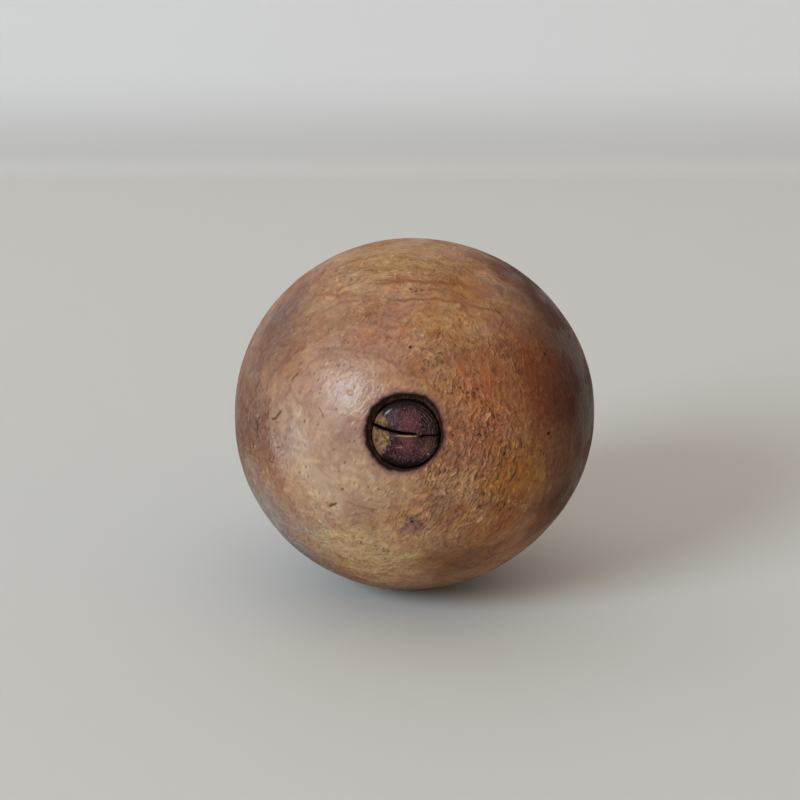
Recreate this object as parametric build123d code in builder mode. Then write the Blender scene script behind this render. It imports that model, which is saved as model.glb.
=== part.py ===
from build123d import *
import math
import os

# A turned wooden ball with a round wooden plug glued into a blind hole.
# Millimetres. The origin is the centre of the ball and +Z is up, as the ball lies.
# The plug's end faces the front, -Y, and a little up.

# The ball was turned round and has dried a little flatter along one direction, its short axis.
# That axis leans from straight up: degrees to the left, as seen from the front, and back.
BALL_DIAMETER = 71.0
BALL_SHORT_DIAMETER = 69.2
SHORT_AXIS_LEFT = 12.5
SHORT_AXIS_BACK = 20.0

# The plug is a length of half-inch dowel. Its end faces this many degrees left of the front, and up.
PLUG_ANGLE_LEFT = 2.7
PLUG_ANGLE_UP = 13.8
PLUG_DIAMETER = 12.7
PLUG_LENGTH = 24.8
PLUG_RECESS = 0.25
DOME_RADIUS = 13.0
DOME_EDGE_RADIUS = 0.9
GLUE_GAP = 0.08

# The mouth of the hole is worn wider than the plug, and its centre lies to the plug's upper left.
MOUTH_DIAMETER = 14.2
MOUTH_SLOPE = 36.0
MOUTH_LEFT = 0.29
MOUTH_UP = 0.42
MOUTH_ROOT_INSET = 0.1
# Its edge is worn round. Outside the rounding the cut leaves the ball by this angle.
MOUTH_EDGE_RADIUS = 0.45
MOUTH_EDGE_RISE = 5.0

# The drying crack crosses the plug's end in two steps. Each step is a list of points across the
# end, from left to right, as X, Y and the width of the crack there, in parts of the plug's radius.
CRACK_DEPTH = 5.0
LEFT_CRACK = [
    (-1.10, 0.300, 0.047),
    (-0.88, 0.244, 0.066),
    (-0.725, 0.197, 0.091),
    (-0.36, 0.098, 0.066),
    (-0.08, 0.047, 0.079),
    (0.307, 0.025, 0.050),
]
RIGHT_CRACK = [
    (0.354, -0.041, 0.019),
    (0.44, -0.031, 0.054),
    (0.55, -0.009, 0.035),
    (0.755, -0.016, 0.041),
    (1.10, -0.009, 0.022),
]

# Tools that cut the hole and the crack run past the surface by this much.
CUT_CLEAR = 1.0


def facing(left, up):
    """Unit direction that starts at the front and turns left and up by these degrees."""
    turn, rise = math.radians(left), math.radians(up)
    return Vector(-math.sin(turn) * math.cos(rise), -math.cos(turn) * math.cos(rise), math.sin(rise))


def surface_height(along, short_axis):
    """Distance from the centre of the ball to its surface in one direction."""
    cosine = along.dot(short_axis)
    long_part = (1 - cosine**2) / (BALL_DIAMETER / 2) ** 2
    short_part = cosine**2 / (BALL_SHORT_DIAMETER / 2) ** 2
    return 1 / math.sqrt(long_part + short_part)


def crack_outline(points, radius):
    """Corners of a crack: along its lower side from left to right, then back along its upper side."""
    lower = [(x * radius, (y - width / 2) * radius) for x, y, width in points]
    upper = [(x * radius, (y + width / 2) * radius) for x, y, width in reversed(points)]
    return lower + upper


# The plane across the ball's short axis, with X to the right as seen from the front.
lean, pitch = math.radians(SHORT_AXIS_LEFT), math.radians(SHORT_AXIS_BACK)
short_axis = Vector(-math.sin(lean), math.cos(lean) * math.sin(pitch), math.cos(lean) * math.cos(pitch))
ball_right = Vector(math.cos(lean), math.sin(lean) * math.sin(pitch), math.sin(lean) * math.cos(pitch))
ball_plane = Plane(origin=(0, 0, 0), x_dir=ball_right, z_dir=short_axis)

# The plane across the plug, with X to the right and Y up as seen from the front. Heights run along
# the plug from the centre of the ball.
plug_axis = facing(PLUG_ANGLE_LEFT, PLUG_ANGLE_UP)
plug_plane = Plane(origin=(0, 0, 0), x_dir=Vector(0, 0, 1).cross(plug_axis), z_dir=plug_axis)
plug_section = Plane(origin=(0, 0, 0), x_dir=-plug_plane.y_dir, z_dir=-plug_plane.x_dir)
plug_radius = PLUG_DIAMETER / 2
top_height = surface_height(plug_axis, short_axis)
dome_height = top_height - PLUG_RECESS
shoulder_height = dome_height - DOME_RADIUS + math.sqrt(DOME_RADIUS**2 - plug_radius**2)
floor_height = dome_height - PLUG_LENGTH

# The mouth narrows from the ball's surface to a circle that lies just inside the bore.
bore_radius = plug_radius + GLUE_GAP
mouth_radius = MOUTH_DIAMETER / 2
mouth_root_radius = bore_radius - math.hypot(MOUTH_LEFT, MOUTH_UP) - MOUTH_ROOT_INSET
mouth_depth = (mouth_radius - mouth_root_radius) / math.tan(math.radians(MOUTH_SLOPE))
mouth_height = math.sqrt(top_height**2 - mouth_radius**2)
mouth_root_height = mouth_height - mouth_depth
cut_height = top_height + CUT_CLEAR

# The mouth's section lies in a half plane through its own axis. Outside the edge it runs on to the
# clear radius, along a line that falls away less steeply than the ball does.
mouth_centre = plug_plane.from_local_coords((-MOUTH_LEFT, MOUTH_UP, 0))
mouth_section = Plane(origin=mouth_centre, x_dir=-plug_plane.y_dir, z_dir=-plug_plane.x_dir)
edge_fall = math.asin(mouth_radius / top_height) - math.radians(MOUTH_EDGE_RISE)
clear_radius = mouth_radius + CUT_CLEAR
clear_height = mouth_height - CUT_CLEAR * math.tan(edge_fall)

# The undrilled ball, with its short axis upright. The pole of its surface lies where the hole will be.
with BuildPart() as undrilled:
    with Locations(Plane(origin=(0, 0, 0), z_dir=ball_plane.to_local_coords(plug_axis))):
        Sphere(BALL_DIAMETER / 2)
    scale(by=(1, 1, BALL_SHORT_DIAMETER / BALL_DIAMETER))

with BuildPart() as ball:
    with Locations(ball_plane):
        add(undrilled.part)
    with BuildSketch(plug_plane.offset(floor_height)):
        Circle(bore_radius)
    extrude(amount=cut_height - floor_height, mode=Mode.SUBTRACT)
    with BuildSketch(mouth_section) as mouth:
        with BuildLine():
            Polyline((0, cut_height), (0, mouth_root_height), (mouth_root_radius, mouth_root_height))
            Line((mouth_root_radius, mouth_root_height), (mouth_radius, mouth_height))
            Polyline((mouth_radius, mouth_height), (clear_radius, clear_height), (clear_radius, cut_height))
            Line((clear_radius, cut_height), (0, cut_height))
        make_face()
        fillet(mouth.vertices().sort_by_distance((mouth_radius, mouth_height, 0))[0], MOUTH_EDGE_RADIUS)
    revolve(axis=Axis(mouth_centre, plug_axis), mode=Mode.SUBTRACT)
ball.part.label = "ball"

with BuildPart() as plug:
    with BuildSketch(plug_section) as profile:
        with BuildLine():
            Polyline((0, dome_height), (0, floor_height), (plug_radius, floor_height))
            Line((plug_radius, floor_height), (plug_radius, shoulder_height))
            RadiusArc((plug_radius, shoulder_height), (0, dome_height), -DOME_RADIUS)
        make_face()
        fillet(profile.vertices().group_by(Axis.X)[-1].sort_by(Axis.Y)[-1], DOME_EDGE_RADIUS)
    revolve(axis=Axis((0, 0, 0), plug_axis))
    for crack in (LEFT_CRACK, RIGHT_CRACK):
        with BuildSketch(plug_plane.offset(dome_height - CRACK_DEPTH)):
            with BuildLine():
                Polyline(crack_outline(crack, plug_radius), close=True)
            make_face()
        extrude(amount=CRACK_DEPTH + CUT_CLEAR, mode=Mode.SUBTRACT)
plug.part.label = "plug"

os.makedirs("parts", exist_ok=True)
export_step(ball.part, "parts/ball.step")
export_step(plug.part, "parts/plug.step")
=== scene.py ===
import math

import bpy
import numpy as np
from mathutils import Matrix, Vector, noise


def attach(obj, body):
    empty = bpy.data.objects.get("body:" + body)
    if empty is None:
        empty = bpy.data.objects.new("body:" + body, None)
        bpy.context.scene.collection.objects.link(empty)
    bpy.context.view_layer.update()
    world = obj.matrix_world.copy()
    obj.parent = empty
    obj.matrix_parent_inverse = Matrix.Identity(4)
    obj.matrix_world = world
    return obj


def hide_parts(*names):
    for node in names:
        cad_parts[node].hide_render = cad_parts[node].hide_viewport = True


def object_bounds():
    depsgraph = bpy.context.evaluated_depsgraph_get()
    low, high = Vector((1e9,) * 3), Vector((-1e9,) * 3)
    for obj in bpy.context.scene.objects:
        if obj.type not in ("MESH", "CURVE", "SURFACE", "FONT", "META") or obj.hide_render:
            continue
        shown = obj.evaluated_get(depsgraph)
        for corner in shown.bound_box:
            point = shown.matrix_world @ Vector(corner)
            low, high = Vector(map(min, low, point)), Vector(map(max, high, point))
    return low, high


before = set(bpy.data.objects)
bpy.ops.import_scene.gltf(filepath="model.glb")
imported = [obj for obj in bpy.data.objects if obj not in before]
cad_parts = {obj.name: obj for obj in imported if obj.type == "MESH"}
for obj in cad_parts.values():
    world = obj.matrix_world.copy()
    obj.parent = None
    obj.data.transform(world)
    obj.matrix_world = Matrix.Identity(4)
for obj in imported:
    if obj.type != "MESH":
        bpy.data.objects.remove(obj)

# An old turned wooden ball with a round wooden plug glued into a blind hole. Sizes are in
# millimetres until a mesh is made. +Z is up, -Y is the front, and the origin is the ball's centre.
cad_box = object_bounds()
MM = 0.001

# Camera. It stands in front and looks down a little. The ball sits right of and below the middle.
CAMERA_RISE = 20.0
CAMERA_DISTANCE = 500.0
CAMERA_LENS = 114.03
CAMERA_SENSOR = 36.0
CAMERA_CLIP = (0.01, 20.0)
AIM_LEFT = 2.66
AIM_UP = 2.66
PHOTO_SIZE = 800
BALL_IN_PHOTO = (413.5, 413.5)

# Ball, as in the CAD source.
BALL_DIAMETER = 71.0
BALL_SHORT_DIAMETER = 69.2
SHORT_AXIS_LEFT = 12.5
SHORT_AXIS_BACK = 20.0
# Places that a material names lie this far from the ball's centre.
PLACE_RADIUS = 35.3

# Plug and hole, as in the CAD source.
PLUG_ANGLE_LEFT = 2.7
PLUG_ANGLE_UP = 13.8
PLUG_DIAMETER = 12.7
PLUG_LENGTH = 24.8
PLUG_RECESS = 0.25
DOME_RADIUS = 13.0
DOME_EDGE_RADIUS = 0.9
GLUE_GAP = 0.08
MOUTH_DIAMETER = 14.2
MOUTH_SLOPE = 36.0
MOUTH_LEFT = 0.29
MOUTH_UP = 0.42
CRACK_DEPTH = 5.0
# Corners of the two steps of the crack, as X, Y and width in parts of the plug's radius.
LEFT_CRACK = (
    (-1.10, 0.300, 0.047), (-0.88, 0.244, 0.066), (-0.725, 0.197, 0.091),
    (-0.36, 0.098, 0.066), (-0.08, 0.047, 0.079), (0.307, 0.025, 0.050),
)
RIGHT_CRACK = (
    (0.354, -0.041, 0.019), (0.44, -0.031, 0.054), (0.55, -0.009, 0.035),
    (0.755, -0.016, 0.041), (1.10, -0.009, 0.022),
)

BALL_RADIUS, PLUG_RADIUS = BALL_DIAMETER / 2, PLUG_DIAMETER / 2


def unit(vector):
    """The vector at length 1."""
    vector = np.asarray(vector, float)
    return vector / np.linalg.norm(vector)


def smooth(value, low, high):
    """0 below low, 1 above high, and an even curve between them."""
    t = np.clip((value - low) / (high - low), 0.0, 1.0)
    return t * t * (3.0 - 2.0 * t)


def facing(left, up):
    """Unit direction that starts at the front and turns left and up by these degrees."""
    turn, rise = math.radians(left), math.radians(up)
    return unit((-math.sin(turn) * math.cos(rise), -math.cos(turn) * math.cos(rise), math.sin(rise)))


# Directions. The camera's right, up and toward, the ball's short axis, and the plug's own three.
camera_rise = math.radians(CAMERA_RISE)
SEEN_RIGHT = np.array((1.0, 0.0, 0.0))
SEEN_UP = np.array((0.0, math.sin(camera_rise), math.cos(camera_rise)))
SEEN_TOWARD = np.array((0.0, -math.cos(camera_rise), math.sin(camera_rise)))
lean, pitch = math.radians(SHORT_AXIS_LEFT), math.radians(SHORT_AXIS_BACK)
SHORT_AXIS = unit((-math.sin(lean), math.cos(lean) * math.sin(pitch), math.cos(lean) * math.cos(pitch)))
PLUG_AXIS = facing(PLUG_ANGLE_LEFT, PLUG_ANGLE_UP)
PLUG_RIGHT = unit(np.cross((0.0, 0.0, 1.0), PLUG_AXIS))
PLUG_UP = np.cross(PLUG_AXIS, PLUG_RIGHT)


def as_seen(right, up, toward):
    """Direction given by how far it goes to the right, up and toward the camera."""
    return unit(right * SEEN_RIGHT + up * SEEN_UP + toward * SEEN_TOWARD)


def seen_at(x, y):
    """Direction from the ball's centre to the place that shows at pixel x, y of the photograph."""
    focal = CAMERA_LENS / CAMERA_SENSOR * PHOTO_SIZE
    right, up = x - BALL_IN_PHOTO[0], BALL_IN_PHOTO[1] - y
    offset = math.hypot(right, up)
    ray = math.atan(offset / focal)
    turn = math.asin(min(1.0, CAMERA_DISTANCE * math.sin(ray) / BALL_RADIUS)) - ray
    share = math.sin(turn) / max(offset, 1e-6)
    return as_seen(right * share, up * share, math.cos(turn))


# Wood. The fibres run up and a little to the right. The growth layers lie flat to GRAIN_FACE.
FIBRE = as_seen(0.41, 0.87, 0.26)
GRAIN_FACE = as_seen(-0.27, -0.15, 0.951)
GRAIN_SIDE = np.cross(FIBRE, GRAIN_FACE)
NICK = as_seen(0.57, 0.80, 0.20)


# Places on the ball, at their pixels of the photograph. Left of the plug the ball is rubbed smooth,
# in its shape and in its finish. The lower right is open-grained.
FLATTENED = seen_at(334, 426)
RUBBED = seen_at(326, 426)
RUGGED = seen_at(484, 452)
SPECKLED = seen_at(254, 430)
STREAKY = seen_at(400, 258)
SHEEN = seen_at(353, 388)

# Shape of the worn ball, over the turned one: a low three-lobed form, lumps, ripples and raised grain.
THREE_LOBES = (0.16, 0.04)
LUMP_SIZE, LUMP_HEIGHT = 15.0, 0.11
RIPPLE_SIZE, RIPPLE_HEIGHT = 4.5, 0.035
RIDGE_LENGTH, RIDGE_WIDTH, RIDGE_HEIGHT = 2.2, 0.9, 0.075
CRUMBLE_SCALE, CRUMBLE_SHARE = 2.1, 0.5
# The rubbed and the rugged place fade in between these cosines of the angle from their middles.
RUBBED_REACH, RUGGED_REACH = (0.74, 0.96), (0.70, 0.96)
RUBBED_CALM = 0.92
RIDGE_BASE, RIDGE_GAIN = 0.40, 0.80
SURFACE_INSET = 0.05
BOX_SOFTNESS = 0.02

# Small pits, scattered all over.
PIT_SEED = 5
PIT_COUNT = 260
PIT_RADIUS = (0.35, 0.8)
PIT_DEPTH = (0.02, 0.09)

# Dents that show in the photograph: pixel, radius and depth in millimetres.
DENTS = {
    "in_the_sheen": (349.0, 391.5, 0.55, 0.16),
    "upper_right": (545.0, 353.0, 0.40, 0.15),
    "right": (548.0, 433.0, 0.40, 0.15),
    "top": (410.0, 346.0, 0.50, 0.10),
    "upper_right_edge": (497.0, 285.0, 0.60, 0.06),
    "above_right": (502.0, 305.0, 0.55, 0.06),
    "lower_right": (511.0, 537.0, 0.50, 0.10),
    "below_the_plug": (412.0, 522.5, 0.70, 0.10),
    "lower_left_dash": (331.0, 504.0, 0.50, 0.14),
    "left_dash": (274.0, 415.0, 0.55, 0.16),
    "top_line": (415.0, 286.5, 0.55, 0.12),
}


def noise_at(points, detail=0):
    """Smooth noise between about -1 and 1 at each point, with finer layers added by detail."""
    if detail:
        return np.array([noise.fractal(Vector(p), 0.9, 2.1, detail) for p in points])
    return np.array([noise.noise(Vector(p)) for p in points])


def turned_radius(directions):
    """Distance from the centre to the ball's turned surface, along each direction."""
    cosine = directions @ SHORT_AXIS
    long_part = (1 - cosine**2) / BALL_RADIUS**2
    short_part = cosine**2 / (BALL_SHORT_DIAMETER / 2) ** 2
    return 1 / np.sqrt(long_part + short_part)


def in_grain(points, along, side, across):
    """The points along the fibres, aside and across the layers, each divided by the noise's size."""
    parts = points @ FIBRE / along, points @ GRAIN_SIDE / side, points @ GRAIN_FACE / across
    return np.stack(parts, axis=1)


def roughness_of_place(directions):
    """1 where the surface is open and ridged, at the right and below, and 0 where it is rubbed smooth."""
    rubbed = smooth(directions @ FLATTENED, *RUBBED_REACH)
    rugged = smooth(directions @ RUGGED, *RUGGED_REACH)
    patchy = np.clip(0.6 + 0.9 * noise_at(directions * 2.6), 0.25, 1.0)
    return (1.0 - RUBBED_CALM * rubbed) * (RIDGE_BASE + RIDGE_GAIN * rugged) * patchy


def pits(directions):
    """Depth of the dents and of many small pits at each direction."""
    depth = np.zeros(len(directions))
    spots = [(seen_at(x, y), radius, deep) for x, y, radius, deep in DENTS.values()]
    draw = np.random.default_rng(PIT_SEED)
    for _ in range(PIT_COUNT):
        spots.append((unit(draw.normal(size=3)), draw.uniform(*PIT_RADIUS), draw.uniform(*PIT_DEPTH)))
    for place, radius, deep in spots:
        away = np.linalg.norm(directions - place, axis=1) * BALL_RADIUS
        depth += deep * np.exp(-((away / radius) ** 2))
    return depth


def relief(directions):
    """Height of the worn surface over the turned one at each direction."""
    points = directions * BALL_RADIUS
    right, up = directions @ SEEN_RIGHT, directions @ SEEN_UP
    turn, reach = np.arctan2(up, right), np.hypot(right, up)
    height = (THREE_LOBES[0] * np.cos(3 * turn) + THREE_LOBES[1] * np.sin(3 * turn)) * reach**3
    height += LUMP_HEIGHT * noise_at(points / LUMP_SIZE)
    height += RIPPLE_HEIGHT * noise_at(points / RIPPLE_SIZE)
    ridges = noise_at(in_grain(points, RIDGE_LENGTH, RIDGE_WIDTH, RIDGE_WIDTH), 1)
    ridges += noise_at(in_grain(points, RIDGE_LENGTH, RIDGE_LENGTH, RIDGE_WIDTH))
    ridges += CRUMBLE_SHARE * noise_at(points / RIPPLE_SIZE * CRUMBLE_SCALE)
    height += RIDGE_HEIGHT * ridges * roughness_of_place(directions)
    return height - pits(directions)


def worn_surface(directions):
    """Points on the ball's worn surface, kept inside the CAD model's box."""
    radius = turned_radius(directions) - SURFACE_INSET + relief(directions)
    low, high = np.array(cad_box[0]) / MM, np.array(cad_box[1]) / MM
    reach = np.where(directions > 0, high, low) / np.where(np.abs(directions) < 1e-6, 1e-6, directions)
    limit = np.min(np.where(reach > 0, reach, 1e3), axis=1) - BOX_SOFTNESS
    excess = radius - limit
    radius = radius - BOX_SOFTNESS * np.logaddexp(0.0, excess / BOX_SOFTNESS)
    return directions * radius[:, None]


# The mouth of the hole. Its rim is not quite round: each worn place has an angle, a half width in
# degrees, and how far it stands out or in.
RIM_WEAR = ((52.0, 24.0, 0.40), (128.0, 22.0, 0.12), (240.0, 20.0, 0.20), (312.0, 30.0, -0.30))
RIM_ROUGHNESS, RIM_WAVES = 0.07, 9.0
RIM_ROUND = 0.45
RIM_BLEND_ANGLE = 46.0
WALL_GRAIN_SIZE, WALL_GRAIN_HEIGHT = 0.7, 0.07
WALL_STEPS = 7
EDGE_STEPS = 7

# Rings of the bore: how many points, share of its radius, and height over its floor.
BORE_RINGS = ((18, 0.12, 0.0), (36, 0.3, 0.0), (72, 0.6, 0.0), (144, 1.0, 0.0), (144, 1.0, 6.0),
              (144, 1.0, 12.0), (144, 1.0, 18.0), (288, 1.0, 21.5))
FLOOR_GAP = 0.02

# Rings of the outer surface: from which polar angle on, how many points a ring has, and the rings'
# spacing there.
RING_BANDS = ((0.0, 288, 0.26), (24.0, 288, 0.34), (33.0, 576, 0.40), (98.0, 288, 0.62),
              (150.0, 144, 0.75), (166.0, 72, 0.8), (173.0, 36, 0.9), (177.0, 18, 0.9))
LAST_RING_ANGLE = 179.0

# What the mark "from_mouth" says deep in the bore, and at the back of the ball.
DEEP_GAP, FAR_GAP = -9.0, 99.0


def on_plug_plane(x, y, height):
    """Points from distances right and up across the plug and a height along it."""
    return (
        np.multiply.outer(x, PLUG_RIGHT)
        + np.multiply.outer(y, PLUG_UP)
        + np.multiply.outer(np.broadcast_to(height, np.shape(x)), PLUG_AXIS)
    )


def over_plug_plane(x, y):
    """Directions of the surface points that lie over these places of the plug's plane."""
    radius = BALL_RADIUS - SURFACE_INSET
    return on_plug_plane(x, y, np.sqrt(radius**2 - x**2 - y**2)) / radius


def rim_radius(turn):
    """Radius of the mouth at each angle round its own centre."""
    degrees = np.degrees(turn)
    radius = np.full(len(turn), MOUTH_DIAMETER / 2)
    for angle, width, amount in RIM_WEAR:
        gap = (degrees - angle + 180) % 360 - 180
        radius += amount * np.exp(-((gap / width) ** 2))
    around = np.stack((np.cos(turn), np.sin(turn), np.zeros(len(turn))), axis=1)
    return radius + RIM_ROUGHNESS * noise_at(around * RIM_WAVES, 2)


def turns(count):
    """Evenly spaced angles round a ring."""
    return np.arange(count) * 2 * math.pi / count


def bore_rings():
    """Rings of the blind hole, from near the middle of its floor up to below the mouth."""
    top = BALL_RADIUS - SURFACE_INSET - PLUG_RECESS
    floor, radius = top - PLUG_LENGTH - FLOOR_GAP, PLUG_RADIUS + GLUE_GAP
    rings = []
    for count, share, height in BORE_RINGS:
        turn = turns(count)
        across, up = radius * share * np.cos(turn), radius * share * np.sin(turn)
        rings.append(on_plug_plane(across, up, floor + height))
    return rings


def mouth_rings():
    """Rings of the mouth's sloping wall and of its worn edge, with how far each is from the rim."""
    turn = turns(RING_BANDS[0][1])
    rim = rim_radius(turn)
    x, y = rim * np.cos(turn) - MOUTH_LEFT, rim * np.sin(turn) + MOUTH_UP
    corner = worn_surface(over_plug_plane(x, y))
    bore_radius = PLUG_RADIUS + GLUE_GAP
    aim = np.arctan2(y, x)
    root_x, root_y = bore_radius * np.cos(aim), bore_radius * np.sin(aim)
    run = np.maximum(np.hypot(x - root_x, y - root_y), 0.1)
    drop = run / math.tan(math.radians(MOUTH_SLOPE))
    root = on_plug_plane(root_x, root_y, corner @ PLUG_AXIS - drop)
    slant = np.hypot(run, drop)
    cut_back = np.minimum(RIM_ROUND, slant * 0.6)
    start = corner + (root - corner) * cut_back[:, None] / slant[:, None]
    out = 1 + RIM_ROUND / np.hypot(x, y)
    end = worn_surface(over_plug_plane(x * out, y * out))
    rings, gaps = [], []
    for step in range(WALL_STEPS):
        share = step / WALL_STEPS
        ring = root + (start - root) * share
        rough = noise_at(ring / WALL_GRAIN_SIZE, 2) * WALL_GRAIN_HEIGHT * math.sin(math.pi * share)
        rings.append(ring + np.multiply.outer(rough, PLUG_AXIS))
        gaps.append(-(slant - cut_back) * (1 - share) - 0.5 * RIM_ROUND)
    for step in range(EDGE_STEPS + 1):
        share = step / EDGE_STEPS
        rings.append(start * (1 - share) ** 2 + corner * 2 * share * (1 - share) + end * share**2)
        gaps.append(np.full(len(turn), RIM_ROUND * (share - 0.5)))
    return rings, gaps, end


def ring_band(angle):
    """The row of RING_BANDS that holds this polar angle."""
    return [band for band in RING_BANDS if math.degrees(angle) >= band[0]][-1]


def outer_rings(edge):
    """Rings of the outer surface, from the worn edge of the mouth to the back of the ball."""
    first = edge / np.linalg.norm(edge, axis=1)[:, None]
    edge_angle = np.arccos(first @ PLUG_AXIS)
    edge_turn = np.unwrap(np.arctan2(first @ PLUG_UP, first @ PLUG_RIGHT))
    start = float(np.mean(edge_angle))
    blend_end = math.radians(RIM_BLEND_ANGLE)
    rings, gaps, angle = [], [], start
    while True:
        angle += ring_band(angle)[2] / BALL_RADIUS
        if angle > math.radians(LAST_RING_ANGLE):
            break
        count = ring_band(angle)[1]
        turn = turns(count)
        keep = 1.0 - smooth(angle, start, blend_end)
        polar = np.full(count, angle)
        if keep > 0:
            old = turns(len(edge_turn))
            shift = edge_turn - old
            shift = shift - 2 * math.pi * round(float(np.mean(shift)) / (2 * math.pi))
            polar = polar + keep * np.interp(turn, old, edge_angle - start, period=2 * math.pi)
            turn = turn + keep * np.interp(turn, old, shift, period=2 * math.pi)
        x, y = np.sin(polar) * np.cos(turn), np.sin(polar) * np.sin(turn)
        directions = on_plug_plane(x, y, np.cos(polar))
        rings.append(worn_surface(directions))
        gaps.append(np.full(count, RIM_ROUND * 0.5 + (angle - start) * BALL_RADIUS))
    return rings, gaps


def join_rings(low, high):
    """Faces between two rings of point numbers. One ring may have twice as many points."""
    faces = []
    if len(low) == len(high):
        for i in range(len(low)):
            j = (i + 1) % len(low)
            faces.append((low[i], low[j], high[j], high[i]))
        return faces
    fine, coarse = (high, low) if len(high) > len(low) else (low, high)
    for i in range(len(coarse)):
        j = (i + 1) % len(coarse)
        a, b, c = fine[2 * i], fine[2 * i + 1], fine[(2 * i + 2) % len(fine)]
        three = [(coarse[i], b, a), (coarse[i], coarse[j], b), (coarse[j], c, b)]
        faces += three if fine is high else [face[::-1] for face in three]
    return faces


def fan(ring, middle):
    """Faces between a ring and one point in its middle."""
    return [(ring[(i + 1) % len(ring)], ring[i], middle) for i in range(len(ring))]


def mesh_piece(name, points, faces, material, node, marks=None):
    """A smooth mesh object in metres that stands for a CAD node. Marks are values kept on its points."""
    mesh = bpy.data.meshes.new(name)
    mesh.from_pydata((np.asarray(points) * MM).tolist(), [], faces)
    mesh.validate()
    for mark, values in (marks or {}).items():
        layer = mesh.attributes.new(mark, "FLOAT", "POINT")
        layer.data.foreach_set("value", np.asarray(values, np.float32))
    mesh.polygons.foreach_set("use_smooth", [True] * len(mesh.polygons))
    mesh.materials.append(material)
    mesh.update()
    piece = bpy.data.objects.new(name, mesh)
    bpy.context.scene.collection.objects.link(piece)
    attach(piece, "root")
    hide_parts(node)
    return piece


def build_ball(material):
    """The ball: bore, mouth and worn outer surface in one closed mesh."""
    bore = bore_rings()
    mouth, mouth_gaps, edge = mouth_rings()
    outer, outer_gaps = outer_rings(edge)
    rings = bore + mouth + outer
    gaps = [np.full(len(ring), DEEP_GAP) for ring in bore] + mouth_gaps + outer_gaps
    floor_middle = bore[0].mean(axis=0)
    back_middle = worn_surface(-PLUG_AXIS[None, :])[0]
    points = np.vstack(rings + [floor_middle[None, :], back_middle[None, :]])
    numbers, at = [], 0
    for ring in rings:
        numbers.append(list(range(at, at + len(ring))))
        at += len(ring)
    faces = [face for low, high in zip(numbers, numbers[1:]) for face in join_rings(low, high)]
    faces += fan(numbers[0], at) + [(a, b, middle) for b, a, middle in fan(numbers[-1], at + 1)]
    gap = np.concatenate(gaps + [[DEEP_GAP], [FAR_GAP]])
    return mesh_piece("worn_ball", points, faces, material, "ball", {"from_mouth": gap})


# Shape of the plug. Each wall of the crack takes up a share of its width, and grows steeper on its
# way down. A thin bridge of whole wood parts the crack's two steps.
PLUG_GRID = 132
PLUG_INSET = 0.02
CRACK_ROWS = 4
CRACK_WALL_SHARE = 0.16
CRACK_FLARE = 1.6
BRIDGE_HALF_WIDTH = 0.01
BRIDGE_FADE = 0.35
THIN_CRACK = 0.04
SIDE_RING_DROP = 3.0
CRACK_FRINGE = 0.22
CRACK_EDGE_ROUGHNESS = 0.09
CRACK_WANDER, CRACK_JAG = 1.1, 5.0
PLUG_CROWN_NOISE = 0.035
END_GRAIN_WIDTH, END_GRAIN_LENGTH, END_GRAIN_HEIGHT = 0.22, 0.9, 0.014
END_RING_SPACING, END_RING_HEIGHT = 0.42, 0.028
LEFT_EDGE_SINK = 0.10
END_RELIEF_FADE = (0.93, 1.0)


def crack_edges(x):
    """Middle and half width of the crack at each distance across the plug, in millimetres."""
    corners = LEFT_CRACK + RIGHT_CRACK
    across = np.array([c[0] for c in corners]) * PLUG_RADIUS
    middle = np.interp(x, across, np.array([c[1] for c in corners]) * PLUG_RADIUS)
    half = np.interp(x, across, np.array([c[2] for c in corners]) * PLUG_RADIUS / 2)
    bridge_from, bridge_to = LEFT_CRACK[-1][0] * PLUG_RADIUS, RIGHT_CRACK[0][0] * PLUG_RADIUS
    bridge = np.where((x > bridge_from) & (x < bridge_to), 1.0, 0.0)
    half = half * (1 - bridge) + BRIDGE_HALF_WIDTH * bridge
    wander = np.stack((x * CRACK_WANDER, np.full(len(x), 3.3), np.zeros(len(x))), axis=1)
    jag = np.stack((x * CRACK_JAG, np.full(len(x), 7.7), np.zeros(len(x))), axis=1)
    middle = middle + CRACK_EDGE_ROUGHNESS * noise_at(wander) + 0.5 * CRACK_EDGE_ROUGHNESS * noise_at(jag, 2)
    return middle, half


def dome_profile(share):
    """Radius and height of the plug's end at each share of the way from its middle to its side."""
    inner = PLUG_RADIUS - DOME_EDGE_RADIUS
    reach = DOME_RADIUS - DOME_EDGE_RADIUS
    tilt = math.asin(inner / reach)
    dome_length, edge_length = DOME_RADIUS * tilt, DOME_EDGE_RADIUS * (math.pi / 2 - tilt)
    along = share * (dome_length + edge_length)
    on_dome = np.minimum(along, dome_length) / DOME_RADIUS
    radius = DOME_RADIUS * np.sin(on_dome)
    height = DOME_RADIUS * (np.cos(on_dome) - 1)
    bend = np.maximum(along - dome_length, 0.0) / DOME_EDGE_RADIUS + tilt
    centre_height = -DOME_RADIUS + reach * math.cos(tilt)
    on_edge = along > dome_length
    radius = np.where(on_edge, inner + DOME_EDGE_RADIUS * np.sin(bend), radius)
    height = np.where(on_edge, centre_height + DOME_EDGE_RADIUS * np.cos(bend), height)
    return radius, height


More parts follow.
